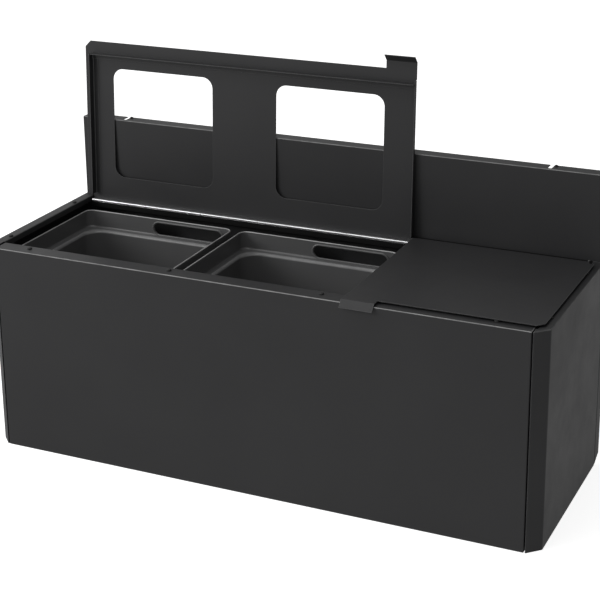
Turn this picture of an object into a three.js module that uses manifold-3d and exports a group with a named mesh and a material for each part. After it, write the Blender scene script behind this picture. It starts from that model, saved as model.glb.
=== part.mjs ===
// Three-compartment waste sorting cabinet in folded sheet steel, with three lift-out bins.
// Millimetres, +Z up, +X to the right, -Y towards the user. The origin is the middle of the
// cabinet's footprint on the floor. Rest: the double lid stands open, the single lid is shut.
import * as THREE from "three";
import { mergeVertices } from "three/addons/utils/BufferGeometryUtils.js";
import Module from "manifold-3d";

const wasm = await Module();
wasm.setup();

// ---- Driving dimensions --------------------------------------------------------------------
const WIDTH = 1000;
const SHEET = 1.5;
const GAP = 0.3; // clearance between pieces that touch on the real cabinet
const RIM_Z = 371; // top of the front, side and rear rims
const SIDE_DEPTH = 335; // front face to the rear edge of the side panels
const BACK_Z = 521; // top of the raised back panel
const BACK_FLANGE = 26; // how far the back panel's edges are folded backwards
const CHAMFER = 22; // vertical corner facet of each side panel
const CORNER_GAP = 2; // shadow gap between the front panel and each side panel
const FRONT_FLANGE = 32;
const SIDE_FLANGE = 20;
const LIP = 10; // depth of the down-turned edge of each rim
const LID_Z = 375.5; // outer face of a closed lid
const LID_FRONT = 17;
const LID_MARGIN = 11; // from the cabinet's side to the lid's edge
const SEAM_X = 665.5; // middle of the gap between the two lids
const SEAM_GAP = 4;
const LID_CORNER = 11;
const LID_FLANGE = 8; // down-turned edge of each lid beside the seam
const TAB_WIDTH = 56;
const TAB_FLAT = 14;
const TAB_DROP = 11;
const HINGE_Y = 318;
const HINGE_Z = 365;
const PIN_RADIUS = 1;
const KNUCKLE_RADIUS = 2.2;
const KNUCKLE_BORE = 1.4;
const KNUCKLE_GAP = 0.6;
const LEAF = 1;
const WINDOW = 205;
const WINDOW_CORNER = 20;
const WINDOW_X = [172, 503.5];
const OPEN_ANGLE = 92.5; // the open lid leans back on the fold along the top of the back panel
const BIN_WIDTH = 305.5;
const BIN_DEPTH = 265;
const BIN_PITCH = 322.5;
const BIN_TOP = 352.5;
const BIN_FLOOR = 3.6;
const BIN_FRONT = 34;
const BIN_WALL = 2.5;
const BIN_COLLAR = 33;
const BIN_LEDGE = 14;
const BIN_DRAFT = 14; // how much the tub narrows a side, from the ledge to the foot
const BIN_CORNER = 32;
const COLLAR_DRAFT = 1;
const COLLAR_CORNER = 16;

// ---- Derived places ------------------------------------------------------------------------
const BACK_Y = SIDE_DEPTH + 1; // front face of the back panel
const BACK_REAR = BACK_Y + BACK_FLANGE;
const TAB_TIP = LID_FRONT - TAB_FLAT - TAB_DROP;
const MIDDLE_Y = (TAB_TIP + BACK_REAR) / 2;
const LID_UNDER = LID_Z - SHEET;
const PAST = 1; // how far a cutting tool runs past the faces that it opens

// ---- Materials -----------------------------------------------------------------------------
const coated = () => new THREE.MeshStandardMaterial({ color: 0x333333, roughness: 0.62, metalness: 0.1 });
const plastic = () => new THREE.MeshStandardMaterial({ color: 0x3b3b3b, roughness: 0.45, metalness: 0 });
const rubber = () => new THREE.MeshStandardMaterial({ color: 0x161616, roughness: 0.85, metalness: 0 });
const steel = () => new THREE.MeshStandardMaterial({ color: 0xc4c6c8, roughness: 0.3, metalness: 0.95 });

// ---- Solids --------------------------------------------------------------------------------
function solid(geometry) {
  const bare = geometry.clone();
  bare.deleteAttribute("normal");
  bare.deleteAttribute("uv");
  const merged = mergeVertices(bare, 1e-4);
  return new wasm.Manifold(
    new wasm.Mesh({
      numProp: 3,
      vertProperties: merged.attributes.position.array,
      triVerts: new Uint32Array(merged.index.array),
    }),
  );
}

function geometryOf(made) {
  const mesh = made.getMesh();
  const geometry = new THREE.BufferGeometry();
  geometry.setAttribute("position", new THREE.BufferAttribute(mesh.vertProperties, 3));
  geometry.setIndex(new THREE.BufferAttribute(mesh.triVerts, 1));
  return geometry;
}

const join = (solids) => solids.reduce((all, next) => all.add(next));
const cut = (body, tools) => tools.reduce((left, tool) => left.subtract(tool), body);

// A box between two opposite corners.
function block([x0, y0, z0], [x1, y1, z1]) {
  const box = new THREE.BoxGeometry(Math.abs(x1 - x0), Math.abs(y1 - y0), Math.abs(z1 - z0));
  box.translate((x0 + x1) / 2, (y0 + y1) / 2, (z0 + z1) / 2);
  return solid(box);
}

const outline = (points) => new THREE.Shape(points.map(([x, y]) => new THREE.Vector2(x, y)));

// An outline drawn in X and Y, extruded upwards from z0 to z1.
function upright(shape, z0, z1) {
  const body = new THREE.ExtrudeGeometry(shape, { depth: z1 - z0, bevelEnabled: false, curveSegments: 5 });
  body.translate(0, 0, z0);
  return solid(body);
}

// An outline drawn in Y and Z, extruded from x0 to x1.
function lengthwise(points, x0, x1) {
  const body = new THREE.ExtrudeGeometry(outline(points), { depth: x1 - x0, bevelEnabled: false });
  body.applyMatrix4(new THREE.Matrix4().set(0, 0, 1, x0, 1, 0, 0, 0, 0, 1, 0, 0, 0, 0, 0, 1));
  return solid(body);
}

function roundedRectangle(x0, y0, x1, y1, r) {
  const shape = new THREE.Shape();
  shape.moveTo(x0 + r, y0);
  shape.lineTo(x1 - r, y0);
  shape.absarc(x1 - r, y0 + r, r, -Math.PI / 2, 0, false);
  shape.lineTo(x1, y1 - r);
  shape.absarc(x1 - r, y1 - r, r, 0, Math.PI / 2, false);
  shape.lineTo(x0 + r, y1);
  shape.absarc(x0 + r, y1 - r, r, Math.PI / 2, Math.PI, false);
  shape.lineTo(x0, y0 + r);
  shape.absarc(x0 + r, y0 + r, r, Math.PI, 1.5 * Math.PI, false);
  return shape;
}

// A disc or rod of `sides` sides on the Z axis, from z0 to z1.
function disc(x, y, radius, z0, z1, sides = 16) {
  const rod = new THREE.CylinderGeometry(radius, radius, z1 - z0, sides);
  rod.rotateX(Math.PI / 2);
  rod.translate(x, y, (z0 + z1) / 2);
  return solid(rod);
}

// A rod of 12 sides along X, centred on the hinge axis.
function rod(radius, x0, x1) {
  const body = new THREE.CylinderGeometry(radius, radius, x1 - x0, 12);
  body.rotateZ(Math.PI / 2);
  body.translate((x0 + x1) / 2, HINGE_Y, HINGE_Z);
  return solid(body);
}

// ---- Cabinet shell -------------------------------------------------------------------------
const EDGE_RETURN = 14; // how far the walls are folded back beside each corner gap

// Wall with a lipped flange along the top, a flange along the floor and a return at each end.
function frontPanel() {
  const left = CHAMFER + CORNER_GAP;
  const right = WIDTH - left;
  const profile = [
    [0, 0],
    [0, RIM_Z - SHEET],
    [SHEET, RIM_Z],
    [FRONT_FLANGE, RIM_Z],
    [FRONT_FLANGE, RIM_Z - LIP],
    [FRONT_FLANGE - SHEET, RIM_Z - LIP],
    [FRONT_FLANGE - SHEET, RIM_Z - SHEET],
    [SHEET, RIM_Z - SHEET],
    [SHEET, SHEET],
    [FRONT_FLANGE, SHEET],
    [FRONT_FLANGE, 0],
  ];
  const ends = [left, right - SHEET].map((x) =>
    block([x, SHEET / 2, SHEET / 2], [x + SHEET, EDGE_RETURN, RIM_Z - SHEET / 2]),
  );
  return join([lengthwise(profile, left, right), ...ends]);
}

// Wall with a corner facet in front, a lipped rim on top, and flanges at the rear and the floor.
// `toX` places it: as drawn for the left side, measured back from the right edge for the right.
function sidePanel(toX) {
  const facet = SHEET * (Math.SQRT2 - 1); // how far a fold of 45 degrees moves the inner corner
  const lipFront = FRONT_FLANGE + 3;
  const wall = [
    [0, SIDE_DEPTH],
    [0, CHAMFER],
    [CHAMFER, 0],
    [CHAMFER, EDGE_RETURN],
    [CHAMFER - SHEET, EDGE_RETURN],
    [CHAMFER - SHEET, 2 * SHEET + facet],
    [SHEET, CHAMFER + facet],
    [SHEET, SIDE_DEPTH - SHEET],
    [SIDE_FLANGE, SIDE_DEPTH - SHEET],
    [SIDE_FLANGE, SIDE_DEPTH],
  ];
  const rim = [
    [0, SIDE_DEPTH],
    [0, CHAMFER],
    [CHAMFER, 0],
    [CHAMFER, EDGE_RETURN],
    [SIDE_FLANGE, EDGE_RETURN],
    [SIDE_FLANGE, SIDE_DEPTH],
  ];
  const placed = (points) => outline(points.map(([x, y]) => [toX(x), y]));
  return join([
    upright(placed(wall), 0, RIM_Z - SHEET / 2),
    upright(placed(rim), RIM_Z - SHEET, RIM_Z),
    block(
      [toX(SIDE_FLANGE - SHEET), lipFront, RIM_Z - LIP],
      [toX(SIDE_FLANGE), SIDE_DEPTH - SHEET / 2, RIM_Z - SHEET / 2],
    ),
    block([toX(SHEET / 2), CHAMFER + SHEET, 0], [toX(SIDE_FLANGE), SIDE_DEPTH - SHEET / 2, SHEET]),
  ]);
}

// Wall, a backward fold along the top with two slits, and a backward fold up each side.
const SLIT_X = [86, 898];
const SLIT_WIDTH = 7;
const SLIT_LENGTH = 20;
function backPanel() {
  const foot = 12; // the side folds taper to this height at the floor
  const profile = [
    [BACK_Y, 0],
    [BACK_Y, BACK_Z],
    [BACK_REAR, BACK_Z],
    [BACK_REAR, BACK_Z - SHEET],
    [BACK_Y + SHEET, BACK_Z - SHEET],
    [BACK_Y + SHEET, 0],
  ];
  const side = [
    [BACK_Y + SHEET / 2, 0],
    [BACK_Y + SHEET / 2, BACK_Z - SHEET / 2],
    [BACK_REAR, BACK_Z - SHEET / 2],
    [BACK_REAR, foot],
  ];
  const slits = SLIT_X.map((x) =>
    block(
      [x - SLIT_WIDTH / 2, BACK_REAR - SLIT_LENGTH, BACK_Z - SHEET - PAST],
      [x + SLIT_WIDTH / 2, BACK_REAR + PAST, BACK_Z + PAST],
    ),
  );
  const folded = join([
    lengthwise(profile, 0, WIDTH),
    lengthwise(side, 0, SHEET),
    lengthwise(side, WIDTH - SHEET, WIDTH),
  ]);
  return cut(folded, slits);
}

// A flat plate that lies on the floor flanges of the walls and carries the bins.
const BASE_Z = SHEET + GAP;
function basePanel() {
  const edge = SHEET + GAP;
  const front = EDGE_RETURN + 2;
  const cornerX = CHAMFER + (SHEET + 3 * GAP) * Math.SQRT2 - front; // clear of the corner facet
  const rear = SIDE_DEPTH - SHEET - GAP;
  const half = [
    [edge, rear],
    [edge, CHAMFER + SHEET],
    [cornerX, front],
  ];
  const other = half.map(([x, y]) => [WIDTH - x, y]).reverse();
  return upright(outline([...half, ...other]), BASE_Z, BASE_Z + SHEET);
}

// Low inverted channel that keeps two neighbouring bins apart.
function binGuide(x) {
  const half = 6;
  const height = 32;
  const front = 45;
  const rear = 300;
  const channel = outline([
    [-half, 0],
    [-half, height],
    [half, height],
    [half, 0],
    [half - SHEET, 0],
    [half - SHEET, height - SHEET],
    [SHEET - half, height - SHEET],
    [SHEET - half, 0],
  ]);
  const body = new THREE.ExtrudeGeometry(channel, { depth: rear - front, bevelEnabled: false });
  body.rotateX(Math.PI / 2);
  body.translate(x, rear, BIN_FLOOR);
  return solid(body);
}

// Rear cross rail: a strip at rim height, a channel that the open lid's edge swings into, and
// a front-facing wall that carries the hinges.
const RAIL_STEP_Y = 330.4;
const RAIL_CHANNEL_Z = 352;
const RAIL_FACE_Y = HINGE_Y - KNUCKLE_RADIUS;
const RAIL_FACE_TOP = HINGE_Z - KNUCKLE_RADIUS - 2 * GAP;
function hingeRail() {
  const rear = BACK_Y - GAP;
  const profile = [
    [RAIL_STEP_Y, RIM_Z],
    [rear, RIM_Z],
    [rear, RIM_Z - SHEET],
    [RAIL_STEP_Y + SHEET, RIM_Z - SHEET],
    [RAIL_STEP_Y + SHEET, RAIL_CHANNEL_Z - SHEET],
    [RAIL_FACE_Y, RAIL_CHANNEL_Z - SHEET],
    [RAIL_FACE_Y, RAIL_FACE_TOP],
    [RAIL_FACE_Y + SHEET, RAIL_FACE_TOP],
    [RAIL_FACE_Y + SHEET, RAIL_CHANNEL_Z],
    [RAIL_STEP_Y, RAIL_CHANNEL_Z],
  ];
  const end = SIDE_FLANGE + GAP;
  return lengthwise(profile, end, WIDTH - end);
}

// ---- Hinges --------------------------------------------------------------------------------
// The knuckles of one leaf along X: every other one of `count`, starting with number `first`.
function knuckles(x0, x1, count, first) {
  const pitch = (x1 - x0) / count;
  const spans = [];
  for (let k = first; k < count; k += 2) {
    spans.push([x0 + k * pitch + KNUCKLE_GAP / 2, x0 + (k + 1) * pitch - KNUCKLE_GAP / 2]);
  }
  return spans;
}

function bored(body, x0, x1) {
  return cut(body, [rod(KNUCKLE_BORE, x0 - PAST, x1 + PAST)]);
}

// The leaf behind the rail's face. Each of its knuckles joins it by a short tongue.
function fixedLeaf(x0, x1, count) {
  const y = RAIL_FACE_Y + SHEET + GAP;
  const foot = RAIL_CHANNEL_Z + GAP;
  const body = [block([x0, y, foot], [x1, y + LEAF, HINGE_Z - KNUCKLE_RADIUS - GAP])];
  for (const [a, b] of knuckles(x0, x1, count, 0)) {
    body.push(rod(KNUCKLE_RADIUS, a, b), block([a, y, foot], [b, y + LEAF, HINGE_Z]));
  }
  return bored(join(body), x0, x1);
}

// The leaf on the inside of the lid's rear edge, drawn with the lid shut.
function movingLeaf(x0, x1, count) {
  const y = HINGE_Y - GAP - LEAF;
  const top = LID_UNDER - LEAF;
  const body = [block([x0, y, HINGE_Z + KNUCKLE_RADIUS + GAP], [x1, y + LEAF, top])];
  for (const [a, b] of knuckles(x0, x1, count, 1)) {
    body.push(rod(KNUCKLE_RADIUS, a, b), block([a, y, HINGE_Z], [b, y + LEAF, top]));
  }
  return bored(join(body), x0, x1);
}

// ---- Lids, drawn shut ----------------------------------------------------------------------
// A lid runs from its outer edge, beside the cabinet's wall, to its inner edge at the seam.
// `way` is 1 where that is towards +X, -1 where it is towards -X.
const NOTCH_FRONT = 310; // the outer margin stops here, clear of the side rim when the lid opens
const NOTCH_CLEARANCE = 1.3;
const NOTCH_WIDTH = SIDE_FLANGE + NOTCH_CLEARANCE - LID_MARGIN;
const SEAM_FLANGE_FRONT = FRONT_FLANGE + 2;
const SEAM_FLANGE_REAR = HINGE_Y - 6;
function lidPlate(outer, inner, way) {
  const rear = HINGE_Y + SHEET;
  const notched = outer + way * NOTCH_WIDTH;
  const edgeFoot = HINGE_Z + KNUCKLE_RADIUS + GAP;
  const plate = outline([
    [notched, rear],
    [notched, NOTCH_FRONT],
    [outer, NOTCH_FRONT],
    [outer, LID_FRONT + LID_CORNER],
    [outer + way * LID_CORNER, LID_FRONT],
    [inner, LID_FRONT],
    [inner, rear],
  ]);
  return join([
    upright(plate, LID_UNDER, LID_Z),
    block([notched, HINGE_Y, edgeFoot], [inner, rear, LID_Z - SHEET / 2]),
    block(
      [inner - way * SHEET, SEAM_FLANGE_FRONT, LID_Z - LID_FLANGE],
      [inner, SEAM_FLANGE_REAR, LID_Z - SHEET / 2],
    ),
    lidTab(inner - way * TAB_WIDTH, inner),
  ]);
}

// The pull tab: a short flat run, then a slope down over the front panel.
function lidTab(a, b) {
  const slopeStart = LID_FRONT - TAB_FLAT;
  const fold = SHEET * Math.tan(Math.PI / 8);
  const tipY = slopeStart - TAB_DROP;
  const tipZ = LID_Z - TAB_DROP;
  const profile = [
    [LID_FRONT + 1, LID_Z],
    [slopeStart, LID_Z],
    [tipY, tipZ],
    [tipY + SHEET * Math.SQRT1_2, tipZ - SHEET * Math.SQRT1_2],
    [slopeStart + fold, LID_UNDER],
    [LID_FRONT + 1, LID_UNDER],
  ];
  return lengthwise(profile, Math.min(a, b), Math.max(a, b));
}

function windowOpening(x) {
  const middle = (LID_FRONT + HINGE_Y) / 2;
  const half = WINDOW / 2;
  const shape = roundedRectangle(x - half, middle - half, x + half, middle + half, WINDOW_CORNER);
  return upright(shape, LID_UNDER - PAST, LID_Z + PAST);
}

// Angle sections under a lid, along its front and its outer side, that drop inside the rims. The
// front one ends beside the seam flange, the side one closes the corner in front of it.
const SKIRT_DROP = 14;
const SKIRT_FOOT = 10;
const SKIRT_FRONT = 39;
const SKIRT_INSET = 16;
const SKIRT_REAR = HINGE_Y - 12;
const SKIRT_TOP = LID_UNDER - GAP;
const SKIRT_BOTTOM = LID_UNDER - SKIRT_DROP;
function frontSkirt(outer, inner, way) {
  const side = outer + way * (SKIRT_INSET + SHEET + GAP);
  const end = inner - way * (SHEET + GAP);
  return join([
    block([side, SKIRT_FRONT, SKIRT_BOTTOM], [end, SKIRT_FRONT + SHEET, SKIRT_TOP]),
    block([side, SKIRT_FRONT, SKIRT_TOP - SHEET], [end, SKIRT_FRONT + SKIRT_FOOT, SKIRT_TOP]),
  ]);
}

function sideSkirt(outer, way) {
  const side = outer + way * SKIRT_INSET;
  const footFront = SKIRT_FRONT + SKIRT_FOOT + GAP;
  return join([
    block([side, SKIRT_FRONT, SKIRT_BOTTOM], [side + way * SHEET, SKIRT_REAR, SKIRT_TOP]),
    block([side, footFront, SKIRT_TOP - SHEET], [side + way * SKIRT_FOOT, SKIRT_REAR, SKIRT_TOP]),
  ]);
}

// ---- Bins ----------------------------------------------------------------------------------
// A rounded block that narrows towards its foot by `draft` a side.
function tub(inset, draft, z0, z1, corner) {
  const x = BIN_WIDTH / 2 - inset;
  const y = BIN_DEPTH / 2 - inset;
  const shape = roundedRectangle(-x, -y, x, y, corner);
  const body = new THREE.ExtrudeGeometry(shape, { depth: z1 - z0, bevelEnabled: false, curveSegments: 5 });
  const place = body.attributes.position;
  for (let i = 0; i < place.count; i++) {
    const low = 1 - place.getZ(i) / (z1 - z0);
    place.setX(i, place.getX(i) * (1 - (draft * low) / x));
    place.setY(i, place.getY(i) * (1 - (draft * low) / y));
  }
  body.translate(0, 0, z0);
  return solid(body);
}

function bin() {
  const ledgeZ = BIN_TOP - BIN_COLLAR;
  const slot = { from: -10, to: 130, low: ledgeZ + BIN_WALL, high: BIN_TOP - 8 };
  const slotRadius = (slot.high - slot.low) / 2 - 0.01;
  const hollow = [
    tub(BIN_WALL, COLLAR_DRAFT, ledgeZ, BIN_TOP + PAST, COLLAR_CORNER - 2),
    tub(BIN_WALL + BIN_LEDGE, BIN_DRAFT, BIN_FLOOR + BIN_WALL, ledgeZ + PAST, BIN_CORNER - 2),
  ];
  const slotShape = roundedRectangle(slot.from, slot.low, slot.to, slot.high, slotRadius);
  const slotBody = new THREE.ExtrudeGeometry(slotShape, { depth: 20, bevelEnabled: false, curveSegments: 6 });
  slotBody.rotateX(Math.PI / 2);
  slotBody.translate(0, BIN_DEPTH / 2 + 5, 0);
  return cut(
    join([
      tub(0, COLLAR_DRAFT, ledgeZ - BIN_WALL, BIN_TOP, COLLAR_CORNER),
      tub(BIN_LEDGE, BIN_DRAFT, BIN_FLOOR, ledgeZ, BIN_CORNER),
    ]),
    [...hollow, solid(slotBody)],
  );
}

// ---- Small pieces --------------------------------------------------------------------------
const BUMPER_RADIUS = 4;
const FRONT_BUMPER_X = [81, 353, 627, 916];
const FRONT_BUMPER_Y = 19.5;
const SIDE_BUMPER_X = 13;
const SIDE_BUMPER_Y = [63, 271];
const bumper = (x, y) => disc(x, y, BUMPER_RADIUS, RIM_Z + GAP, LID_UNDER - GAP);

const RAIL_SCREW_X = 25.5;
const RAIL_SCREW_RADIUS = 2.3;
const railScrew = (x) => disc(x, (RAIL_STEP_Y + BACK_Y) / 2, RAIL_SCREW_RADIUS, RIM_Z + GAP, RIM_Z + SHEET);

const PLUG_OFFSET = 8;
const PLUG_RADIUS = 3;
const PLUG_HEIGHT = 3;
const PLUG_INSET = 7; // from the rear edge of the back panel's top fold
const flangePlug = (x) => disc(x, BACK_REAR - PLUG_INSET, PLUG_RADIUS, BACK_Z + GAP, BACK_Z + PLUG_HEIGHT);

// ---- Assembly ------------------------------------------------------------------------------
const root = new THREE.Group();
root.position.set(-WIDTH / 2, -MIDDLE_Y, 0);

function add(parent, name, made, material) {
  const mesh = new THREE.Mesh(geometryOf(made), material);
  mesh.name = name;
  parent.add(mesh);
}

// A lid with its skirt and its half of the hinge, turned about the hinge pin by `angle` degrees.
const LEAF_OUTER_INSET = 12;
const LEAF_INNER_INSET = 4;
function addLid(name, outer, inner, knuckleCount, windows, angle) {
  const way = Math.sign(inner - outer);
  const ends = [outer + way * LEAF_OUTER_INSET, inner - way * LEAF_INNER_INSET];
  const x0 = Math.min(...ends);
  const x1 = Math.max(...ends);
  const pivot = new THREE.Group();
  pivot.position.set(0, HINGE_Y, HINGE_Z);
  pivot.rotation.x = -THREE.MathUtils.degToRad(angle);
  const shut = new THREE.Group();
  shut.position.set(0, -HINGE_Y, -HINGE_Z);
  pivot.add(shut);
  root.add(pivot);
  add(shut, `${name}_lid`, cut(lidPlate(outer, inner, way), windows.map(windowOpening)), coated());
  add(shut, `${name}_lid_front_skirt`, frontSkirt(outer, inner, way), coated());
  add(shut, `${name}_lid_side_skirt`, sideSkirt(outer, way), coated());
  add(shut, `${name}_lid_hinge_leaf`, movingLeaf(x0, x1, knuckleCount), steel());
  add(root, `${name}_lid_rail_leaf`, fixedLeaf(x0, x1, knuckleCount), steel());
  add(root, `${name}_lid_hinge_pin`, rod(PIN_RADIUS, x0, x1), steel());
}

add(root, "front_panel", frontPanel(), coated());
add(root, "left_side_panel", sidePanel((x) => x), coated());
add(root, "right_side_panel", sidePanel((x) => WIDTH - x), coated());
add(root, "back_panel", backPanel(), coated());
add(root, "base_panel", basePanel(), coated());
add(root, "hinge_rail", hingeRail(), coated());
addLid("double", LID_MARGIN, SEAM_X - SEAM_GAP / 2, 11, WINDOW_X, OPEN_ANGLE);
addLid("single", WIDTH - LID_MARGIN, SEAM_X + SEAM_GAP / 2, 5, [], 0);

["left", "middle", "right"].forEach((place, i) => {
  const holder = new THREE.Group();
  holder.position.set(WIDTH / 2 + (i - 1) * BIN_PITCH, BIN_FRONT + BIN_DEPTH / 2, 0);
  root.add(holder);
  add(holder, `${place}_bin`, bin(), plastic());
});
["left", "right"].forEach((place, i) => {
  add(root, `${place}_bin_guide`, binGuide(WIDTH / 2 + (i - 0.5) * BIN_PITCH), coated());
  const railX = i ? WIDTH - RAIL_SCREW_X : RAIL_SCREW_X;
  add(root, `${place}_rail_screw`, railScrew(railX), steel());
  add(root, `${place}_flange_plug`, flangePlug(SLIT_X[i] + PLUG_OFFSET), rubber());
  const bumperX = i ? WIDTH - SIDE_BUMPER_X : SIDE_BUMPER_X;
  SIDE_BUMPER_Y.forEach((y, k) => add(root, `${place}_rim_bumper_${k + 1}`, bumper(bumperX, y), rubber()));
});
FRONT_BUMPER_X.forEach((x, k) => add(root, `front_rim_bumper_${k + 1}`, bumper(x, FRONT_BUMPER_Y), rubber()));

export default root;
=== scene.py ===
"""Waste sorting cabinet: the looks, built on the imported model. Row frame, metres, +Z up."""
import bpy, bmesh, math
from mathutils import Matrix, Vector


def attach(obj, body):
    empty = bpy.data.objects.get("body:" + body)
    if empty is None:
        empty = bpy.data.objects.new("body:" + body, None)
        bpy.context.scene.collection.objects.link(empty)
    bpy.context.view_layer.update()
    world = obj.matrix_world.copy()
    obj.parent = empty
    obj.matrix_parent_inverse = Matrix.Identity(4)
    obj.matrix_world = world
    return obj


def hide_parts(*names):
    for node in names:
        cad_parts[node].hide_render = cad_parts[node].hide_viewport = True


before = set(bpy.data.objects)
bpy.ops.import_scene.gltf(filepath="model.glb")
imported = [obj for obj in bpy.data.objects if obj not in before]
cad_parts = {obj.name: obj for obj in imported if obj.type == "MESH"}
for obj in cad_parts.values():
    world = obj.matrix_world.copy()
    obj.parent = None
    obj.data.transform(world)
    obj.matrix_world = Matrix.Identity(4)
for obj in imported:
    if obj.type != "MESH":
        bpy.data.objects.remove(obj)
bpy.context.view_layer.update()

# The cabinet's own drawing, in millimetres from its left, front and floor.
MM = 0.001
WIDTH, MIDDLE_Y = 1000.0, 177.0
SHEET = 1.5  # thickness of the steel
RIM_Z, LIP = 371.0, 10.0  # top of the rims, and how far a lip hangs from them
LID_Z = 375.5  # top of the shut lids
HINGE = (318.0, 365.0)  # Y and Z of both hinge pins
OPEN = math.radians(92.5)
SEAM_X = 665.5  # between the lids
PROUD = 0.3  # how far a fixed piece stands off what it is fixed to


def at(x, y, z):
    """A point of the drawing, in the row frame."""
    return Vector(((x - WIDTH / 2) * MM, (y - MIDDLE_Y) * MM, z * MM))


def grey(value, blue=0.0):
    return (value, value, value + blue)


# ---- Materials ----------------------------------------------------------------------------
class Nodes:
    """A short way to wire a tree of nodes."""

    def __init__(self, tree):
        self.tree = tree

    def add(self, kind, **settings):
        node = self.tree.nodes.new(kind)
        for key, value in settings.items():
            setattr(node, key, value)
        return node

    def link(self, a, b):
        self.tree.links.new(a, b)

    def math(self, kind, a, b):
        node = self.add("ShaderNodeMath", operation=kind)
        for socket, value in zip(node.inputs, (a, b)):
            if isinstance(value, (int, float)):
                socket.default_value = value
            else:
                self.link(value, socket)
        return node.outputs[0]


class Shader(Nodes):
    """A material with one Principled BSDF."""

    def __init__(self, name):
        self.mat = bpy.data.materials.new(name)
        self.mat.use_nodes = True
        super().__init__(self.mat.node_tree)
        self.tree.nodes.clear()
        out = self.add("ShaderNodeOutputMaterial")
        self.bsdf = self.add("ShaderNodeBsdfPrincipled")
        self.link(self.bsdf.outputs[0], out.inputs[0])
        self.place = self.add("ShaderNodeTexCoord").outputs["Object"]

    def feed(self, value, socket):
        self.link(value, self.bsdf.inputs[socket])

    def fix(self, value, socket):
        self.bsdf.inputs[socket].default_value = value

    def stretched(self, scale):
        mapping = self.add("ShaderNodeMapping")
        mapping.inputs["Scale"].default_value = scale
        self.link(self.place, mapping.inputs["Vector"])
        return mapping.outputs[0]

    def noise(self, scale, detail=2.0, rough=0.5, vector=None):
        node = self.add("ShaderNodeTexNoise")
        node.inputs["Scale"].default_value = scale
        node.inputs["Detail"].default_value = detail
        node.inputs["Roughness"].default_value = rough
        self.link(vector or self.place, node.inputs["Vector"])
        return node.outputs["Fac"]

    def ramp(self, fac, low, high, from_min=0.3, from_max=0.7):
        node = self.add("ShaderNodeMapRange")
        node.inputs["From Min"].default_value = from_min
        node.inputs["From Max"].default_value = from_max
        node.inputs["To Min"].default_value = low
        node.inputs["To Max"].default_value = high
        self.link(fac, node.inputs["Value"])
        return node.outputs[0]

    def mix(self, fac, a, b):
        node = self.add("ShaderNodeMix", data_type="RGBA")
        self.link(fac, node.inputs["Factor"])
        for socket, value in zip((node.inputs[6], node.inputs[7]), (a, b)):
            if isinstance(value, tuple):
                socket.default_value = (*value, 1.0)
            else:
                self.link(value, socket)
        return node.outputs[2]

    def bump(self, height, distance, strength, after=None):
        node = self.add("ShaderNodeBump")
        node.inputs["Distance"].default_value = distance
        node.inputs["Strength"].default_value = strength
        self.link(height, node.inputs["Height"])
        if after is not None:
            self.link(after, node.inputs["Normal"])
        return node.outputs[0]

    def edges(self, radius):
        """Mask of edge wear and painted highlight: 0 on flat faces, more on folds marked as worn
        and within `radius` of a sharp edge.
        """
        here = self.add("ShaderNodeNewGeometry")
        soft = self.add("ShaderNodeBevel", samples=4)
        soft.inputs["Radius"].default_value = radius
        dot = self.add("ShaderNodeVectorMath", operation="DOT_PRODUCT")
        self.link(soft.outputs[0], dot.inputs[0])
        self.link(here.outputs["Normal"], dot.inputs[1])
        sharp = self.ramp(dot.outputs["Value"], 0.5, 0.0, 0.9, 0.999)
        fold = self.add("ShaderNodeAttribute", attribute_name="wear_and_highlight").outputs["Fac"]
        return self.math("MAXIMUM", sharp, fold)


def powder_coat(name, dark, light, worn_and_lit, rough, gloss):
    s = Shader(name)
    broad = s.noise(3.1, 3.0, 0.6)
    grain = s.noise(1900.0, 2.0, 0.6)
    tone = s.mix(s.ramp(broad, 0.0, 1.0), dark, light)
    speck = s.mix(s.ramp(grain, 0.0, 0.55, 0.5, 0.8), tone, tuple(v * 1.5 for v in light))
    # Folds and sharp edges are lightened towards a pale tone: partly edge wear, partly a painted
    # highlight.
    edge = s.math("MULTIPLY", s.edges(0.0009), s.ramp(s.noise(60.0, 3.0), 0.55, 1.0))
    s.feed(s.mix(edge, speck, worn_and_lit), "Base Color")
    handled = s.ramp(s.noise(11.0, 4.0, 0.65), rough - 0.05, rough + 0.05)
    s.feed(s.math("ADD", handled, s.ramp(grain, -0.03, 0.03)), "Roughness")
    peel = s.bump(s.noise(420.0, 2.0), 0.00006, 0.5)
    s.feed(s.bump(grain, 0.00003, 0.5, peel), "Normal")
    s.fix(gloss, "Specular IOR Level")
    return s.mat


def moulded_plastic(name, dark, light, worn_and_lit, rough):
    s = Shader(name)
    tone = s.mix(s.ramp(s.noise(4.0, 3.0), 0.0, 1.0), dark, light)
    scuff = s.noise(30.0, 5.0, 0.7, s.stretched((1.0, 1.0, 0.25)))
    # Rubbed edges and the rim are lightened towards a pale tone: partly wear, partly a painted
    # highlight.
    rub_and_highlight = s.math("MULTIPLY", s.edges(0.0012), s.ramp(scuff, 0.5, 1.0))
    s.feed(s.mix(rub_and_highlight, tone, worn_and_lit), "Base Color")
    s.feed(s.ramp(scuff, rough - 0.05, rough + 0.07), "Roughness")
    skin = s.bump(s.noise(700.0, 2.0), 0.00005, 0.4)
    s.feed(s.bump(s.noise(25.0, 2.0), 0.0004, 0.12, skin), "Normal")
    s.fix(0.5, "Specular IOR Level")
    return s.mat


def rubber_skin(name, tone, rough):
    s = Shader(name)
    bloom = s.ramp(s.noise(300.0, 3.0), 0.0, 1.0)
    s.feed(s.mix(bloom, tone, tuple(v * 1.7 for v in tone)), "Base Color")
    s.feed(s.ramp(s.noise(200.0, 3.0), rough - 0.06, rough + 0.06), "Roughness")
    s.feed(s.bump(s.noise(900.0, 2.0), 0.00005, 0.5), "Normal")
    return s.mat


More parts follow.
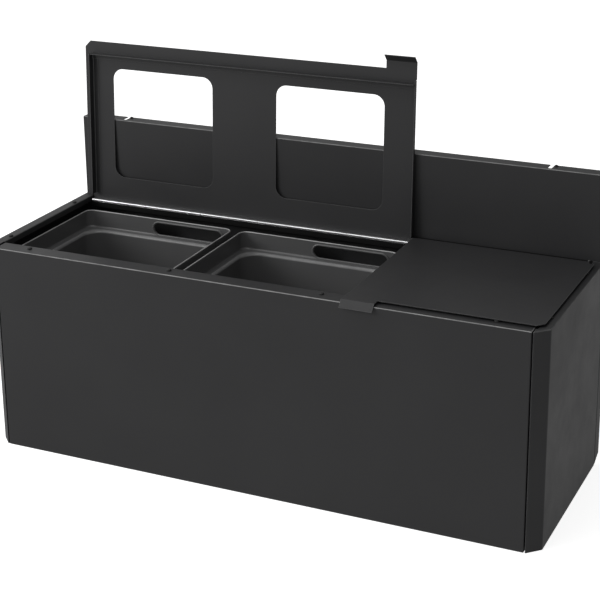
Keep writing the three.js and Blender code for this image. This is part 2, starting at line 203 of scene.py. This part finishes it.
def brushed(name, dark, light, rough):
    s = Shader(name)
    lines = s.noise(240.0, 4.0, 0.7, s.stretched((0.06, 1.0, 1.0)))
    s.feed(s.mix(s.ramp(lines, 0.0, 1.0), dark, light), "Base Color")
    handled = s.ramp(s.noise(9.0, 3.0), -0.03, 0.03)
    s.feed(s.math("ADD", s.ramp(lines, rough - 0.06, rough + 0.08), handled), "Roughness")
    s.feed(s.bump(lines, 0.00002, 0.6), "Normal")
    s.fix(1.0, "Metallic")
    return s.mat


# The third colour of each coat and of the plastic is the pale tone that folds, rims and edges are
# lightened to: partly wear, partly a painted highlight.
COAT = powder_coat("powder_coat", grey(0.026, 0.001), grey(0.032, 0.001), grey(0.30), 0.46, 0.36)
# A much darker copy of the same coat, for the hinge rail and the pieces inside: painted shade.
COAT_PAINTED_SHADE = powder_coat("powder_coat_painted_shade", grey(0.003), grey(0.006), grey(0.02), 0.6, 0.15)
PLASTIC = moulded_plastic("bin_plastic", grey(0.088, 0.001), grey(0.108, 0.001), grey(0.48), 0.32)
RUBBER = rubber_skin("bumper_rubber", grey(0.012), 0.7)
STEEL = brushed("hinge_steel", grey(0.62, 0.01), grey(0.86, 0.01), 0.34)
SCREW = brushed("screw_steel", grey(0.10), grey(0.20), 0.38)


# ---- Mesh helpers -------------------------------------------------------------------------
def shade_smooth(mesh, sharp_from):
    """Smooth shading, broken at edges of more than `sharp_from` degrees."""
    mesh.polygons.foreach_set("use_smooth", [True] * len(mesh.polygons))
    if sharp_from:
        mesh.set_sharp_from_angle(angle=math.radians(sharp_from))


def even_normals(obj):
    obj.modifiers.new("normals", "WEIGHTED_NORMAL").keep_sharp = True


def finish_piece(name, bm, material, body, nodes,
                 edge=0.3, smooth=35.0, solid=None, matrix=None):
    """Turns `bm`, in the drawing's millimetres, into a piece that rides on a body and stands
    for nodes. An open sheet is made `solid` millimetres thick, and `edge` rounds the edges."""
    for v in bm.verts:
        v.co = at(*v.co)
    if matrix is not None:
        bm.transform(matrix)
    bm.normal_update()
    mesh = bpy.data.meshes.new(name)
    bm.to_mesh(mesh)
    bm.free()
    shade_smooth(mesh, None if solid else smooth)
    obj = bpy.data.objects.new(name, mesh)
    bpy.context.collection.objects.link(obj)
    mesh.materials.append(material)
    if solid:
        thick = obj.modifiers.new("sheet", "SOLIDIFY")
        thick.thickness = solid * MM
        thick.offset = -1
        thick.use_quality_normals = True
    if edge:
        bevel = obj.modifiers.new("edges", "BEVEL")
        bevel.width = edge * MM
        bevel.segments = 2
        bevel.limit_method = "ANGLE"
        bevel.angle_limit = math.radians(75 if solid else 50)
        bevel.use_clamp_overlap = bool(solid)
    even_normals(obj)
    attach(obj, body)
    if nodes:
        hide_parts(*nodes)
    return obj


def steel_sheet(name, bm, nodes, body="cabinet", coat=COAT, matrix=None):
    """A piece of folded and coated sheet steel."""
    finish_piece(name, bm, coat, body, nodes, solid=SHEET, matrix=matrix)


def sheet_mesh():
    """An empty mesh whose faces can be marked as worn and painted lighter as a highlight, from 0 to
    1.
    """
    bm = bmesh.new()
    return bm, bm.faces.layers.float.new("wear_and_highlight")


def surface(corners, faces, folds=1.8, flip=False, worn_and_lit=0.3):
    """An open sheet from named corners and faces. Every edge between two faces is a rounded fold,
    and the crest of each fold that runs level is marked as worn and painted lighter as a highlight."""
    bm, wear_and_highlight = sheet_mesh()
    verts = {key: bm.verts.new(place) for key, place in corners.items()}
    for names in faces:
        loop = [verts[n] for n in names]
        bm.faces.new(loop[::-1] if flip else loop)
    bm.normal_update()
    bent = [e for e in bm.edges if len(e.link_faces) == 2
            and e.link_faces[0].normal.angle(e.link_faces[1].normal) > 0.3]
    made = bmesh.ops.bevel(bm, geom=bent, offset=folds, offset_type="OFFSET", segments=5,
                           profile=0.5, affect="EDGES", clamp_overlap=False)
    bm.normal_update()
    for face in made["faces"]:
        heights = [v.co.z for v in face.verts]
        crest = max(abs(n) for n in face.normal) < 0.94
        level = max(heights) - min(heights) < 50
        # Level fold crests are lightened: partly wear, partly a painted highlight.
        face[wear_and_highlight] = worn_and_lit if crest and level else 0.0
    return bm


def strip(path, a, b, folds=2.0, axis="x"):
    """A sheet folded along `path`, a list of points across the axis, running from a to b."""
    corners = {}
    for i, (p, z) in enumerate(path):
        for k, t in enumerate((a, b)):
            corners[i, k] = (t, p, z) if axis == "x" else (p, t, z)
    faces = [((i, 0), (i, 1), (i + 1, 1), (i + 1, 0)) for i in range(len(path) - 1)]
    return surface(corners, faces, folds, flip=True)


def merge_into(bm, other):
    """Adds the geometry of `other` to `bm`."""
    mesh = bpy.data.meshes.new("tmp")
    other.to_mesh(mesh)
    other.free()
    bm.from_mesh(mesh)
    bpy.data.meshes.remove(mesh)


def outline_loop(x0, y0, x1, y1, r, steps):
    """Corner points of a rounded rectangle, anticlockwise."""
    points = []
    corners = ((x1 - r, y0 + r, -90), (x1 - r, y1 - r, 0),
               (x0 + r, y1 - r, 90), (x0 + r, y0 + r, 180))
    for cx, cy, start in corners:
        for k in range(steps + 1):
            a = math.radians(start + 90 * k / steps)
            points.append((cx + r * math.cos(a), cy + r * math.sin(a)))
    return points


def wall(bm, low, high):
    """Faces between two closed rings of as many vertices."""
    n = len(low)
    return [bm.faces.new((low[k], low[(k + 1) % n], high[(k + 1) % n], high[k])) for k in range(n)]


def circle(sides):
    return [(math.cos(2 * math.pi * k / sides), math.sin(2 * math.pi * k / sides))
            for k in range(sides)]


def lathe(profile, sides=32):
    """A closed solid turned about Z from (radius, height) points; the ends lie on the axis."""
    bm = bmesh.new()
    rings = [[bm.verts.new((r * c, r * s, z)) for c, s in (circle(sides) if r else [(0, 0)])]
             for r, z in profile]
    for low, high in zip(rings, rings[1:]):
        if len(low) == len(high):
            wall(bm, low, high)
            continue
        for k in range(sides):
            j = (k + 1) % sides
            bm.faces.new((low[0], high[j], high[k]) if len(low) == 1 else (low[k], low[j], high[0]))
    return bm


def moved(bm, x, y, z):
    bmesh.ops.translate(bm, vec=Vector((x, y, z)), verts=bm.verts[:])
    return bm


def tube(radius, a, b, y, z):
    """A round bar along X with softened ends."""
    length, soft = b - a, 0.25
    profile = [(0, 0), (radius - soft, 0), (radius, soft),
               (radius, length - soft), (radius - soft, length), (0, length)]
    bm = lathe(profile, 24)
    bmesh.ops.transform(bm, matrix=Matrix.Rotation(math.pi / 2, 4, "Y"), verts=bm.verts[:])
    return moved(bm, a, y, z)


def slab(x0, y0, z0, x1, y1, z1):
    bm = bmesh.new()
    bmesh.ops.create_cube(bm, size=1.0)
    for v in bm.verts:
        v.co = ((x0 + x1) / 2 + v.co.x * (x1 - x0), (y0 + y1) / 2 + v.co.y * (y1 - y0),
                (z0 + z1) / 2 + v.co.z * (z1 - z0))
    return bm


# ---- Cabinet shell ------------------------------------------------------------------------
END_FLANGE = 14.0  # depth of the fold at the ends of the front


def front_panel():
    margin, flange = 24.0, 32.0
    c = {}
    for key, x in (("l", margin), ("r", WIDTH - margin)):
        c[key + "b"], c[key + "t"] = (x, 0, 0), (x, 0, RIM_Z)
        c[key + "be"], c[key + "te"] = (x, END_FLANGE, 0), (x, END_FLANGE, RIM_Z)
        c[key + "bf"], c[key + "tf"] = (x, flange, 0), (x, flange, RIM_Z)
        c[key + "tl"] = (x, flange, RIM_Z - LIP)
    faces = [("lb", "rb", "rt", "lt"), ("lt", "rt", "rte", "lte"), ("lte", "rte", "rtf", "ltf"),
             ("ltf", "rtf", "rtl", "ltl"), ("rb", "lb", "lbe", "rbe"), ("rbe", "lbe", "lbf", "rbf"),
             ("lb", "lt", "lte", "lbe"), ("rt", "rb", "rbe", "rte")]
    # Its level folds are lightened at full strength: wear and a painted highlight.
    steel_sheet("front_panel_sheet", surface(c, faces, worn_and_lit=1.0), ["front_panel"])


def side_panel(side):
    to_x = (lambda x: WIDTH - x) if side == "right" else (lambda x: x)
    facet, rim, rear, lip_from, lip_to = 22, 19, 335, 35, 332
    plan = {"rear_in": (20, rear), "rear": (0, rear), "side": (0, facet), "front": (facet, 0),
            "ret": (facet, END_FLANGE)}
    c = {}
    for key, (x, y) in plan.items():
        c[key + "_b"], c[key + "_t"] = (to_x(x), y, 0), (to_x(x), y, RIM_Z)
    c["rim_f"] = (to_x(rim), END_FLANGE, RIM_Z)
    c["rim_l"], c["rim_r"] = (to_x(rim), lip_from, RIM_Z), (to_x(rim), lip_to, RIM_Z)
    c["lip_f"], c["lip_r"] = ((to_x(rim), y, RIM_Z - LIP) for y in (lip_from, lip_to))
    c["rim_e"] = (to_x(rim), rear, RIM_Z)
    walls = [("rear", "side"), ("side", "front"), ("front", "ret")]
    faces = [(a + "_b", b + "_b", b + "_t", a + "_t") for a, b in walls]
    faces.append(("rear_in_b", "rear_b", "rear_t", "rear_in_t"))
    faces.append(("rear_t", "side_t", "front_t", "ret_t", "rim_f", "rim_l", "rim_r", "rim_e"))
    faces.append(("rim_r", "rim_l", "lip_f", "lip_r"))
    bm = surface(c, faces, flip=side == "right")
    steel_sheet(side + "_side_sheet", bm, [side + "_side_panel"])


def back_panel():
    y, top, rear = 336.0, 521.0, 362.0
    c = {"lb": (0, y, 0), "rb": (WIDTH, y, 0), "lt": (0, y, top), "rt": (WIDTH, y, top),
         "lte": (0, rear, top), "rte": (WIDTH, rear, top),
         "lbe": (0, rear, 12), "rbe": (WIDTH, rear, 12)}
    slits, half, deep, notch = (898.0, 86.0), 3.5, 20, []
    for k, x in enumerate(slits):
        walk = ((half, rear), (half, rear - deep), (-half, rear - deep), (-half, rear))
        for n, (dx, yy) in enumerate(walk):
            c[f"n{k}{n}"] = (x + dx, yy, top)
            notch.append(f"n{k}{n}")
    faces = [("lb", "rb", "rt", "lt"), ("lt", "rt", "rte", *notch, "lte"),
             ("lb", "lt", "lte", "lbe"), ("rt", "rb", "rbe", "rte")]
    # Its level folds are lightened at 0.7: wear and a painted highlight.
    steel_sheet("back_panel_sheet", surface(c, faces, worn_and_lit=0.7), ["back_panel"])


def hinge_rail():
    end, step, shelf, face = 20.4, 330.4, 352, 317.3
    path = [(335.6, RIM_Z), (step, RIM_Z), (step, shelf), (face, shelf), (face, 362.2)]
    bm = strip(path, end, WIDTH - end, 1.4)
    # The rail is drawn in the darker copy of the coat: painted shade.
    steel_sheet("hinge_rail_sheet", bm, ["hinge_rail"], coat=COAT_PAINTED_SHADE)


def bottom_and_guides():
    plan = [(2, 333), (2, 24), (9, 17), (WIDTH - 9, 17), (WIDTH - 2, 24), (WIDTH - 2, 333)]
    corners = {k: (x, y, 3.3) for k, (x, y) in enumerate(plan)}
    steel_sheet("base_sheet", surface(corners, [range(len(plan))]), ["base_panel"], coat=COAT_PAINTED_SHADE)
    half, foot, top = 6, 3.6, 35.6
    for place, x in (("left", 338.75), ("right", 661.25)):
        path = [(x - half, foot), (x - half, top), (x + half, top), (x + half, foot)]
        bm = strip(path, 45, 300, axis="y")
        steel_sheet(place + "_guide_channel", bm, [place + "_bin_guide"], coat=COAT_PAINTED_SHADE)


front_panel()
side_panel("left")
side_panel("right")
back_panel()
hinge_rail()
bottom_and_guides()


# ---- Lids, drawn shut ---------------------------------------------------------------------
BEND, TURNED = 2.0, 6.0  # radius of the lids' bends, and depth of the edges turned down
LID_FRONT, CHAMFER = 17, 11
TAB_WIDTH, TAB_REACH, TAB_BEND, TAB_TIP = 56, 12.96, 2.5, 10.27
WINDOW_HALF, WINDOW_FRONT, WINDOW_REAR, WINDOW_CORNER = 102.5, 65, 270, 20
SKIRT_TOP, SKIRT_FOOT, SKIRT_FRONT, SKIRT_REAR, SKIRT_LEG = 373.7, 360, 39, 306, 10
PIVOT = at(0, *HINGE)
OPENED = Matrix.Translation(PIVOT) @ Matrix.Rotation(-OPEN, 4, "X") @ Matrix.Translation(-PIVOT)


def fold_edges(bm, chosen, moves, along):
    """Extends the chosen boundary edges through a list of moves, as a press brake folds a
    sheet. The fold runs along axis `along`, 0 for X and 1 for Y."""
    edges = [e for e in bm.edges if len(e.link_faces) == 1 and chosen(*(v.co for v in e.verts))]
    for move in moves:
        made = bmesh.ops.extrude_edge_only(bm, edges=edges)["geom"]
        verts = [g for g in made if isinstance(g, bmesh.types.BMVert)]
        bmesh.ops.translate(bm, vec=Vector(move), verts=verts)
        edges = [g for g in made if isinstance(g, bmesh.types.BMEdge)
                 and g.verts[0] in verts and g.verts[1] in verts
                 and abs(g.verts[0].co[along] - g.verts[1].co[along]) > 1]


def bend_moves(along, radius, angle, steps=5):
    """Moves of an edge that leads along `along`, a unit vector, into a downward bend."""
    moves, last = [], (0.0, 0.0)
    for k in range(1, steps + 1):
        a = math.radians(angle) * k / steps
        here = (radius * math.sin(a), -radius * (1 - math.cos(a)))
        out = here[0] - last[0]
        moves.append((along[0] * out, along[1] * out, here[1] - last[1]))
        last = here
    return moves


def flat_outline(points, holes, z):
    """A flat surface facing up, with holes."""
    bm = bmesh.new()
    for loop in [points, *holes]:
        verts = [bm.verts.new((x, y, z)) for x, y in loop]
        for k in range(len(verts)):
            bm.edges.new((verts[k], verts[(k + 1) % len(verts)]))
    bmesh.ops.triangle_fill(bm, use_beauty=True, use_dissolve=False, edges=bm.edges[:])
    bm.normal_update()
    for f in bm.faces:
        if f.normal.z < 0:
            f.normal_flip()
    return bm


def on_line(axis, value):
    """A test of whether both ends of an edge have this value along an axis."""
    return lambda a, b: abs(a[axis] - value) < 1e-3 and abs(b[axis] - value) < 1e-3


def lid_plate(outer, inner, windows):
    """The lid's sheet. `outer` is its edge at the cabinet's end, `inner` its edge at the seam."""
    way = 1 if inner > outer else -1
    rear = HINGE[0] + SHEET - BEND
    side = inner - way * BEND
    points = [(outer + way * 10.3, rear), (outer + way * 10.3, 310), (outer, 310),
              (outer, LID_FRONT + CHAMFER), (outer + way * CHAMFER, LID_FRONT),
              (inner - way * TAB_WIDTH, LID_FRONT), (inner, LID_FRONT), (inner, 33.4),
              (side, 33.4), (side, 34), (side, 312), (side, 312.6), (inner, 312.6), (inner, rear)]
    holes = [outline_loop(x - WINDOW_HALF, WINDOW_FRONT, x + WINDOW_HALF, WINDOW_REAR,
                          WINDOW_CORNER, 12) for x in windows]
    bm = flat_outline(points, holes, LID_Z)
    at_rear, at_side, at_front = on_line(1, rear), on_line(0, side), on_line(1, LID_FRONT)
    down = [(0, 0, -TURNED)]
    fold_edges(bm, at_rear, bend_moves((0, 1), BEND, 90) + down, 0)
    fold_edges(bm, lambda a, b: at_side(a, b) and abs(a[1] - b[1]) > 100,
               bend_moves((way, 0), BEND, 90) + down, 1)
    tab = [(0, -TAB_REACH, 0)] + bend_moves((0, -1), TAB_BEND, 45) + [(0, -TAB_TIP, -TAB_TIP)]
    fold_edges(bm, lambda a, b: at_front(a, b) and min(abs(a[0] - inner), abs(b[0] - inner)) < 1,
               tab, 0)
    return bm


def skirts(outer, inner):
    """The angle sections under the lid: the front one, then the side one."""
    way, fold = (1 if inner > outer else -1), 1.8
    foot, stop = outer + way * 16, inner - way * fold
    ends = sorted((foot + way * fold, stop))
    leg = [(SKIRT_FRONT + SKIRT_LEG, SKIRT_TOP), (SKIRT_FRONT, SKIRT_TOP),
           (SKIRT_FRONT, SKIRT_FOOT)]
    front = strip(leg, *ends, fold)
    near = SKIRT_FRONT + SKIRT_LEG + PROUD
    tip = foot + way * SKIRT_LEG
    corners = {"tf": (tip, near, SKIRT_TOP), "tr": (tip, SKIRT_REAR, SKIRT_TOP),
               "bf": (foot, near, SKIRT_TOP), "br": (foot, SKIRT_REAR, SKIRT_TOP),
               "cf": (foot, SKIRT_FRONT, SKIRT_TOP), "lr": (foot, SKIRT_REAR, SKIRT_FOOT),
               "lf": (foot, SKIRT_FRONT, SKIRT_FOOT)}
    faces = [("tf", "tr", "br", "bf"), ("bf", "br", "lr", "lf", "cf")]
    return front, surface(corners, faces, fold, flip=way > 0)


def lid(key, outer, inner, windows, matrix):
    name, body = key + "_lid", key + "_lid_body"
    front, side = skirts(outer, inner)
    steel_sheet(name + "_plate", lid_plate(outer, inner, windows), [name], body, matrix=matrix)
    steel_sheet(name + "_front_angle", front, [name + "_front_skirt"], body, matrix=matrix)
    steel_sheet(name + "_side_angle", side, [name + "_side_skirt"], body, matrix=matrix)


lid("double", 11.0, SEAM_X - 2, (172.0, 503.5), OPENED)
lid("single", WIDTH - 11, SEAM_X + 2, (), None)


# ---- Hinges -------------------------------------------------------------------------------
KNUCKLE, PIN, KNUCKLE_GAP = 2.2, 1.0, 0.3
RAIL_LEAF = ((317.6, 318.6), (352.3, 362.5))  # Y and Z
LID_LEAF = ((316.7, 317.7), (367.5, 373.0))


def hinge(key, x0, x1, count, matrix):
    """Two leaves with `count` knuckles in turn, and the pin."""
    pitch = (x1 - x0) / count
    for kind, first, leaf, body, turn in (("rail", 0, RAIL_LEAF, "cabinet", None),
                                          ("hinge", 1, LID_LEAF, key + "_lid_body", matrix)):
        (y0, y1), (z0, z1) = leaf
        ends = (z1 - 0.1, HINGE[1]) if kind == "rail" else (HINGE[1], z0 + 0.1)
        bm = slab(x0, y0, z0, x1, y1, z1)
        for k in range(first, count, 2):
            a, b = x0 + k * pitch + KNUCKLE_GAP, x0 + (k + 1) * pitch - KNUCKLE_GAP
            merge_into(bm, tube(KNUCKLE, a, b, *HINGE))
            merge_into(bm, slab(a, y0, ends[0], b, y1, ends[1]))
        node = f"{key}_lid_{kind}_leaf"
        finish_piece(node + "_strip", bm, STEEL, body, [node], edge=0.15,
                     matrix=turn)
    finish_piece(key + "_lid_pin", tube(PIN, x0, x1, *HINGE), STEEL, "cabinet",
                 [key + "_lid_hinge_pin"], edge=0)


hinge("double", 23.0, 659.5, 11, OPENED)
hinge("single", 671.5, 977.0, 5, None)


# ---- Bins ---------------------------------------------------------------------------------
BIN_X, BIN_Y, BIN_CENTRE_Y = 152.75, 132.5, 166.5  # half the collar's size, and its middle
BIN_TOP, BIN_FLOOR, LEDGE_Z, COLLAR_FOOT, ROLL_FOOT = 352.5, 3.6, 319.5, 317, 350.9
OUTSIDE, INSIDE, DRAFT = 14, 16.5, 14.0  # insets of the tub's walls at the ledge; their slope
FOOT_ROUND, ROLL_ROUND, SHELF_ROUND, LEDGE_ROUND, FLOOR_ROUND = 12, 1.25, 4, 5, 18
ROLL_RINGS, LEDGE_RINGS = range(11, 17), range(24, 29)
SLOT_FROM, SLOT_TO, SLOT_FOOT, SLOT_HEAD = -10, 130, LEDGE_Z + 2.5, BIN_TOP - 8
CUTTER_Y, BEAD_Y = (290, 304), 295.6
CREASE = 50  # degrees; gentler edges are shaded smooth


def ring(inset, corner, z):
    """Rounded rectangle `inset` inside the collar's outer face."""
    hx, hy = BIN_X - inset, BIN_Y - inset
    return [(x, y, z) for x, y in outline_loop(-hx, -hy, hx, hy, corner, 9)]


def tub_inset(z, base):
    return base + DRAFT * (1 - (z - BIN_FLOOR) / (LEDGE_Z - BIN_FLOOR))


def turns(degrees, steps):
    """(sine, 1 - cosine) of angles from 0 to `degrees`."""
    angles = [math.radians(degrees * k / steps) for k in range(steps + 1)]
    return [(math.sin(a), 1 - math.cos(a)) for a in angles]


def bin_rings():
    """A bin's rings of points: up its outside, over the rolled rim and down its inside."""
    rings = []
    for s, c in turns(90, 6):
        e, z = FOOT_ROUND * (1 - s), BIN_FLOOR + FOOT_ROUND * c
        rings.append(ring(tub_inset(z, OUTSIDE) + e, 30 - e / 2, z))
    rings += [ring(tub_inset(COLLAR_FOOT, OUTSIDE), 33, COLLAR_FOOT), ring(2.4, 15, COLLAR_FOOT),
              ring(1.4, 15.5, 317.6), ring(1.0, 16, 319), ring(0.0, 16, ROLL_FOOT)]
    for s, c in turns(180, 6)[1:]:
        rings.append(ring(ROLL_ROUND * c, 16 - ROLL_ROUND * c, ROLL_FOOT + ROLL_ROUND * s))
    for s, c in turns(90, 5):
        rings.append(ring(3.3 + SHELF_ROUND * c, 13.5 + (SHELF_ROUND - 1.5) * c,
                          LEDGE_Z + SHELF_ROUND * (1 - s)))
    for s, c in turns(90, 5):
        rings.append(ring(11.5 + LEDGE_ROUND * s, 28 + LEDGE_ROUND * s, LEDGE_Z - LEDGE_ROUND * c))
    for s, c in turns(90, 7):
        z = BIN_FLOOR + 2.5 + FLOOR_ROUND * (1 - s)
        rings.append(ring(tub_inset(z, INSIDE) + FLOOR_ROUND * c, 31 - 8 * c, z))
    return rings


def bin_wear_and_highlight(place):
    """Wear and painted highlight of the band above ring `place`: full on the rolled rim, a little
    on the ledge's inner edge.
    """
    return 1.0 if place in ROLL_RINGS else 0.3 if place in LEDGE_RINGS else 0.0


def tub(x):
    bm, wear_and_highlight = sheet_mesh()
    rings = [[bm.verts.new(p) for p in r] for r in bin_rings()]
    for place, (low, high) in enumerate(zip(rings, rings[1:])):
        for face in wall(bm, low, high):
            face[wear_and_highlight] = bin_wear_and_highlight(place)
    bm.faces.new(rings[0][::-1])
    bm.faces.new(rings[-1])
    return moved(bm, x, BIN_CENTRE_Y, 0)


def stadium(x0, x1, z0, z1, steps=14):
    """Outline of a slot with round ends."""
    r, points = (z1 - z0) / 2, []
    for cx, start in ((x1 - r, -90), (x0 + r, 90)):
        for k in range(steps + 1):
            a = math.radians(start + 180 * k / steps)
            points.append((cx + r * math.cos(a), (z0 + z1) / 2 + r * math.sin(a)))
    return points


def loop_tube(path, radius, sides=10):
    """A closed tube of round section along a loop of points in a plane of one depth."""
    bm = bmesh.new()
    rings = []
    for k, (x, y, z) in enumerate(path):
        ax, _, az = path[k - 1]
        bx, _, bz = path[(k + 1) % len(path)]
        out = Vector((bz - az, 0, ax - bx)).normalized()
        rings.append([bm.verts.new(Vector((x, y, z)) + radius * (c * out + s * Vector((0, 1, 0))))
                      for c, s in circle(sides)])
    for k, low in enumerate(rings):
        wall(bm, rings[(k + 1) % len(rings)], low)
    bmesh.ops.recalc_face_normals(bm, faces=bm.faces[:])
    return bm


def slot_cutter(outline):
    """A solid, in the row frame, through the rear of a bin's collar."""
    bm = bmesh.new()
    front, back = ([bm.verts.new(at(a, y, b)) for a, b in outline] for y in CUTTER_Y)
    bm.faces.new(front)
    bm.faces.new(back[::-1])
    wall(bm, back, front)
    bmesh.ops.recalc_face_normals(bm, faces=bm.faces[:])
    return bm


def cut(obj, bm):
    """Takes the solid `bm` out of a piece."""
    mesh = bpy.data.meshes.new("cutter")
    bm.to_mesh(mesh)
    bm.free()
    tool = bpy.data.objects.new("cutter", mesh)
    bpy.context.collection.objects.link(tool)
    obj.modifiers.clear()
    hole = obj.modifiers.new("slot", "BOOLEAN")
    hole.object, hole.operation, hole.solver = tool, "DIFFERENCE", "EXACT"
    result = obj.evaluated_get(bpy.context.evaluated_depsgraph_get())
    obj.data = bpy.data.meshes.new_from_object(result)
    obj.modifiers.clear()
    bpy.data.objects.remove(tool)
    shade_smooth(obj.data, CREASE)
    even_normals(obj)


def make_bin(key, x):
    node, body = key + "_bin", key + "_bin_body"
    obj = finish_piece(node + "_tub", tub(x), PLASTIC, body, [node],
                       edge=0, smooth=CREASE)
    cut(obj, slot_cutter(stadium(x + SLOT_FROM, x + SLOT_TO, SLOT_FOOT, SLOT_HEAD)))
    loop = stadium(x + SLOT_FROM - 2, x + SLOT_TO + 2, SLOT_FOOT - 1, SLOT_HEAD + 1.8)
    bead = loop_tube([(a, BEAD_Y, b) for a, b in loop], 2.0)
    finish_piece(node + "_slot_bead", bead, PLASTIC, body, [], edge=0, smooth=80)


for key, x in (("left", 177.5), ("middle", 500.0), ("right", 822.5)):
    make_bin(key, x)


# ---- Small pieces: (radius, height) profiles ----------------------------------------------
BUMPER = [(0, 0), (3.7, 0), (4, 0.3), (4, 1.1), (3.6, 1.75), (2.6, 2.2), (1.2, 2.38), (0, 2.4)]
PLUG = [(0, 0), (2.8, 0), (3, 0.3), (2.9, 1.2), (2.2, 2.1), (1.1, 2.6), (0, 2.7)]
SCREW_HEAD = [(0, 0), (2.2, 0), (2.3, 0.15), (2.25, 0.5), (1.95, 0.95), (1.4, 1.2), (1.15, 1.2),
              (1.05, 0.5), (0, 0.45)]


def small_piece(name, profile, x, y, z, material):
    finish_piece(name + "_round", moved(lathe(profile), x, y, z), material, "cabinet",
                 [name], edge=0, smooth=50)


ON_RIM, ON_BACK = RIM_Z + PROUD, 521 + PROUD
for k, x in enumerate((81, 353, 627, 916)):
    small_piece(f"front_rim_bumper_{k + 1}", BUMPER, x, 19.5, ON_RIM, RUBBER)
for place, x in (("left", 13), ("right", WIDTH - 13)):
    for k, y in enumerate((63, 271)):
        small_piece(f"{place}_rim_bumper_{k + 1}", BUMPER, x, y, ON_RIM, RUBBER)
for place, x in (("left", 25.5), ("right", WIDTH - 25.5)):
    small_piece(place + "_rail_screw", SCREW_HEAD, x, 333.2, ON_RIM, SCREW)
for place, x in (("left", 94), ("right", WIDTH - 94)):
    small_piece(place + "_flange_plug", PLUG, x, 355, ON_BACK, RUBBER)


# ---- Camera, light and floor --------------------------------------------------------------
EYE = at(1589.4, -2148.5, 1288.7)
YAW, PITCH, ROLL = (math.radians(a) for a in (24.721, 18.152, -0.573))
LENS, SHIFT = 96.576, -0.15


def camera():
    data = bpy.data.cameras.new("camera")
    cam = bpy.data.objects.new("camera", data)
    bpy.context.collection.objects.link(cam)
    data.sensor_width = 36.0
    data.lens = LENS
    data.shift_y = SHIFT
    level = math.cos(PITCH)
    forward = Vector((-math.sin(YAW) * level, math.cos(YAW) * level, -math.sin(PITCH)))
    right = Vector((math.cos(YAW), math.sin(YAW), 0.0))
    up = right.cross(forward)
    x = right * math.cos(ROLL) + up * math.sin(ROLL)
    y = up * math.cos(ROLL) - right * math.sin(ROLL)
    turn = Matrix((x, y, -forward)).transposed()
    cam.matrix_world = Matrix.Translation(EYE) @ turn.to_4x4()
    data.clip_start, data.clip_end = 0.05, 60.0
    bpy.context.scene.camera = cam


def area_light(name, place, target, size, power):
    data = bpy.data.lights.new(name, "AREA")
    data.shape = "RECTANGLE"
    data.size, data.size_y = size
    data.energy = power
    light = bpy.data.objects.new(name, data)
    bpy.context.collection.objects.link(light)
    light.location = place
    aim = Vector(target) - Vector(place)
    light.rotation_euler = aim.to_track_quat("-Z", "Y").to_euler()


def room(walls):
    """A world of soft walls, pale to the camera. Each sends most light from its middle, and
    none from its edge."""
    world = bpy.data.worlds.new("studio")
    bpy.context.scene.world = world
    world.use_nodes = True
    s = Nodes(world.node_tree)
    background = s.tree.nodes["Background"]
    background.inputs["Color"].default_value = (1, 1, 1, 1)
    split = s.add("ShaderNodeSeparateXYZ")
    s.link(s.add("ShaderNodeTexCoord").outputs["Generated"], split.inputs[0])
    total = s.add("ShaderNodeLightPath").outputs["Is Camera Ray"]
    for axis, strength in walls:
        facing = s.math("MULTIPLY", split.outputs[axis], strength)
        total = s.math("ADD", total, s.math("MAXIMUM", facing, 0.0))
    s.link(total, background.inputs["Strength"])


def floor(glow, bounce):
    """A plain floor: pale to the camera, dimmer to the light that it sends to the object."""
    bm = bmesh.new()
    bmesh.ops.create_circle(bm, cap_ends=True, segments=96, radius=30)
    mesh = bpy.data.meshes.new("floor")
    bm.to_mesh(mesh)
    bm.free()
    s = Shader("floor_paint")
    seen = s.add("ShaderNodeLightPath").outputs["Is Camera Ray"]
    pale = s.mix(s.noise(2.0), grey(0.88), grey(0.90))
    s.feed(s.mix(seen, grey(0.25), pale), "Base Color")
    s.fix(0.9, "Roughness")
    s.fix(0.1, "Specular IOR Level")
    s.fix((1, 1, 1, 1), "Emission Color")
    s.feed(s.ramp(seen, bounce, glow, 0.0, 1.0), "Emission Strength")
    mesh.materials.append(s.mat)
    stage = bpy.data.objects.new("floor", mesh)
    bpy.context.collection.objects.link(stage)
    stage.location.z = -0.0005


camera()
room([("X", -1.0), ("Y", -0.3), ("Z", 0.3)])  # left, front and top
area_light("key", (-2.3, -2.0, 1.7), (0, 0, 0.25), (1.4, 1.2), 34)
area_light("top", (-0.3, -0.5, 2.3), (0, 0, 0.3), (0.8, 0.6), 6)
floor(0.8, 0.3)
bpy.context.scene.view_settings.view_transform = "Standard"
